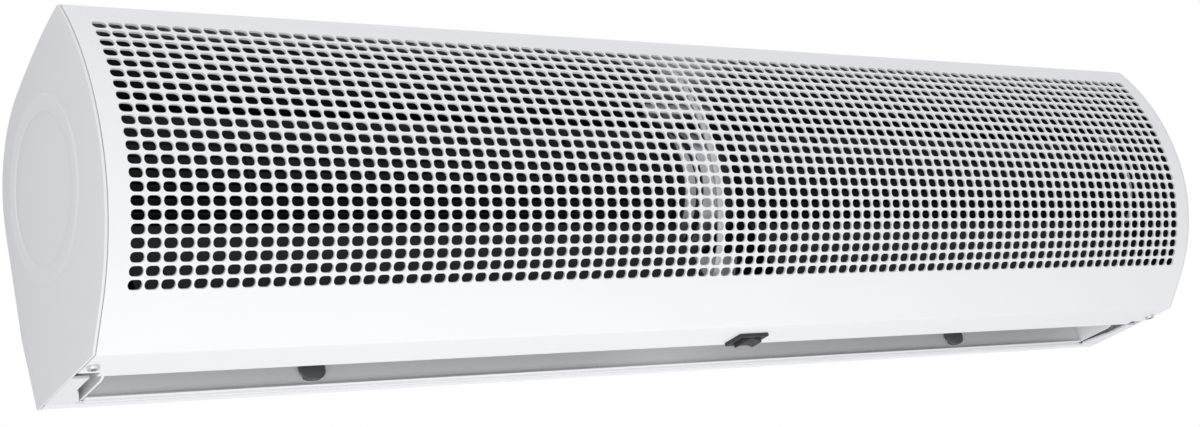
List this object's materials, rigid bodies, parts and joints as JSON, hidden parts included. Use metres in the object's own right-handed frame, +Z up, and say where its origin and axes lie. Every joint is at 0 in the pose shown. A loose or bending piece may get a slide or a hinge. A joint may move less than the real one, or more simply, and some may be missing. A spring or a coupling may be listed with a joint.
{
  "type": "air curtain",
  "caption": "Wall-hung air curtain with a perforated curved front, cross-flow wheels either side of a motor, and an underside outlet with a guide vane.",
  "frame": {"origin": "middle of the wall plate's rear face, where the unit hangs on the wall", "axes": "+X along the unit to the right seen from the room, the room is towards -Y, +Z is up"},
  "size_m": [0.9016, 0.1545, 0.2014],
  "materials": {
    "white_coat": "satin white powder coat",
    "grey_coat": "satin light grey powder coat",
    "galvanised_sheet": "zinc coated sheet",
    "wheel_aluminium": "black coat on aluminium blades",
    "motor_black": "black stoved paint",
    "bright_steel": "bright turned steel",
    "black_plastic": "fine moulded texture",
    "clip_plastic": "moulded dark grey",
    "rubber": "matt black rubber"
  },
  "bodies": {
    "housing": {"wall_plate": "galvanised_sheet", "rear_housing": "white_coat", "intake_grille": "white_coat", "lower_cover": "white_coat", "end_plate_left": "grey_coat", "end_plate_right": "grey_coat", "cable_grommet": "rubber", "centre_rib": "white_coat", "bay_floor": "grey_coat", "outer_cheek_left": "white_coat", "outer_cheek_right": "white_coat", "inner_cheek_left": "motor_black", "inner_cheek_right": "motor_black", "scroll_left": "motor_black", "scroll_right": "motor_black", "tongue_left": "motor_black", "tongue_right": "motor_black", "motor_can": "motor_black", "motor_bell_left": "motor_black", "motor_bell_right": "motor_black", "motor_cradle": "galvanised_sheet", "motor_strap": "galvanised_sheet", "electrics_tray": "galvanised_sheet", "capacitor": "black_plastic", "terminal_block": "black_plastic", "bearing_left": "bright_steel", "bearing_right": "bright_steel", "bearing_bush_left": "rubber", "bearing_bush_right": "rubber", "switch_body": "black_plastic", "cover_screw_left": "bright_steel", "cover_screw_right": "bright_steel", "top_screw_left": "bright_steel", "top_screw_right": "bright_steel"},
    "rotor": {"motor_shaft": "bright_steel", "wheel_left": "wheel_aluminium", "wheel_right": "wheel_aluminium", "stub_shaft_left": "bright_steel", "stub_shaft_right": "bright_steel"},
    "vane": {"guide_vane": "grey_coat", "vane_pin_left": "bright_steel", "vane_pin_right": "bright_steel", "lip_clip_left": "clip_plastic", "lip_clip_right": "clip_plastic"},
    "rocker": {"switch_rocker": "black_plastic"}
  },
  "joints": [
    {"name": "rotor_spin", "type": "hinge", "parent": "housing", "child": "rotor", "pos_m": [0, -0.0688, 0.027], "axis": [1, 0, 0], "continuous": true},
    {"name": "vane_tilt", "type": "hinge", "parent": "housing", "child": "vane", "pos_m": [0, -0.023, -0.038], "axis": [-1, 0, 0], "range_deg": [0, 30]},
    {"name": "switch_rock", "type": "hinge", "parent": "housing", "child": "rocker", "pos_m": [0.023, -0.07655, -0.083], "axis": [0, 1, 0], "range_deg": [-7, 7]}
  ]
}
